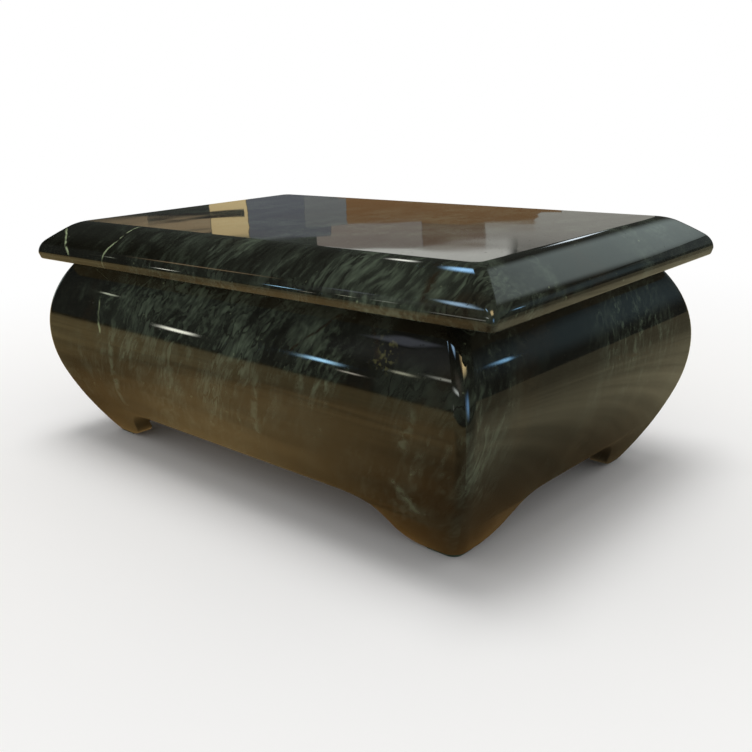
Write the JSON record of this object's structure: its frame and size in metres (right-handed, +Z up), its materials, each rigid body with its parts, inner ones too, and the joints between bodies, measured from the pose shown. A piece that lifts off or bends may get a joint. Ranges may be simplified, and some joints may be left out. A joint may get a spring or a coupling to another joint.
{
  "type": "marble box",
  "caption": "Green marble keepsake box with swelling walls on ogee bracket feet and a loose lift-off lid with a bevelled edge.",
  "frame": {"origin": "on the table, under the middle of the box with its lid on; the casket's own middle is at (-3.3, -3.1) mm and the lid's at the origin, turned 1.2 degrees", "axes": "+X along the long side towards the right end, -Y the front, +Z up and along the lid's lift"},
  "size_m": [0.2774, 0.1794, 0.1113],
  "materials": {
    "green_marble": "mirror polished, veined and mottled",
    "lining_felt": "napped felt",
    "foot_felt": "pressed felt"
  },
  "bodies": {
    "casket": {"wall_front": "green_marble", "wall_back": "green_marble", "wall_left": "green_marble", "wall_right": "green_marble", "floor_slab": "green_marble", "floor_lining": "lining_felt", "foot_felt_front_left": "foot_felt", "foot_felt_front_right": "foot_felt", "foot_felt_back_left": "foot_felt", "foot_felt_back_right": "foot_felt"},
    "lid": {"lid_slab": "green_marble", "lid_locator": "green_marble"}
  },
  "joints": [
    {"name": "lid_lift", "type": "slide", "parent": "casket", "child": "lid", "axis": [0, 0, 1], "range_m": [0, 0.12]}
  ]
}
